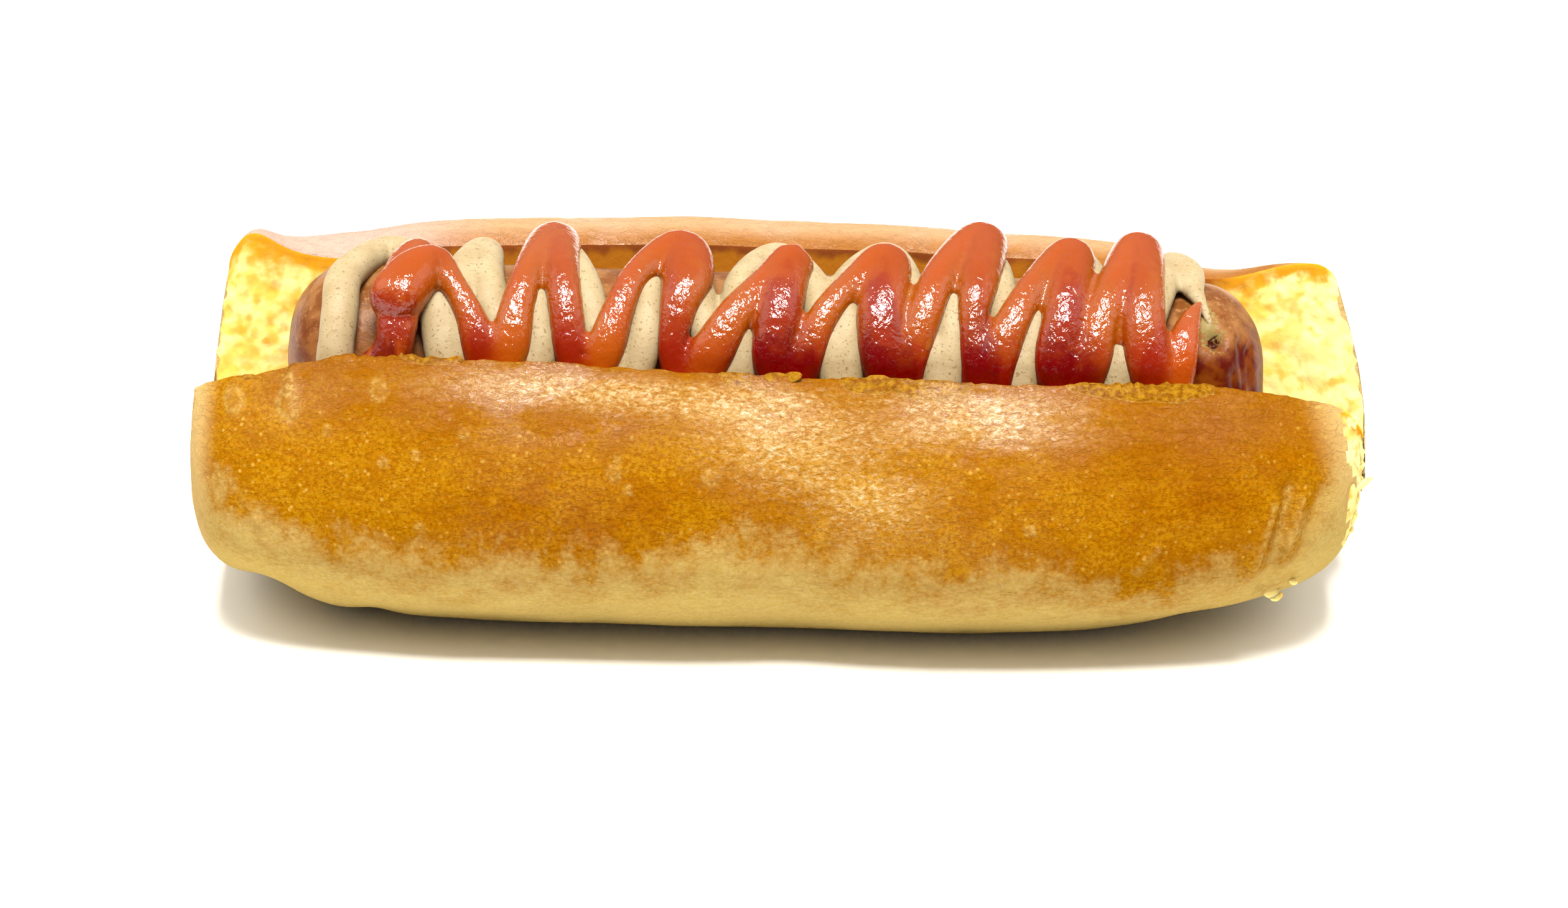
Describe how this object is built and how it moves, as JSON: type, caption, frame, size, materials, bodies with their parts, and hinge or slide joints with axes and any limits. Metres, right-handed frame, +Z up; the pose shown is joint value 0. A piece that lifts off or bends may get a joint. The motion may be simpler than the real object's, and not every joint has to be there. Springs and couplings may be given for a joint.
{
  "type": "hot dog",
  "caption": "Hot dog: a soft top-split roll holding a sausage, with a zigzag of pale mustard under a zigzag of ketchup.",
  "frame": {"origin": "on the table under the middle of the hot dog, centred in its length and width", "axes": "+X along the roll, +Y from the front wall to the back wall, +Z up; the ketchup starts at -X"},
  "size_m": [0.1604, 0.0705, 0.0514],
  "materials": {
    "bread": "egg-washed golden brown crust, satin, over open yellow crumb",
    "sausage": "boiled brown skin, moist and glossy",
    "mustard": "pale beige sauce with fine dark specks, softly glossy",
    "ketchup": "deep red wet gloss, orange where thin"
  },
  "bodies": {
    "root": {"bun": "bread", "sausage": "sausage", "mustard": "mustard", "ketchup": "ketchup"}
  },
  "joints": []
}
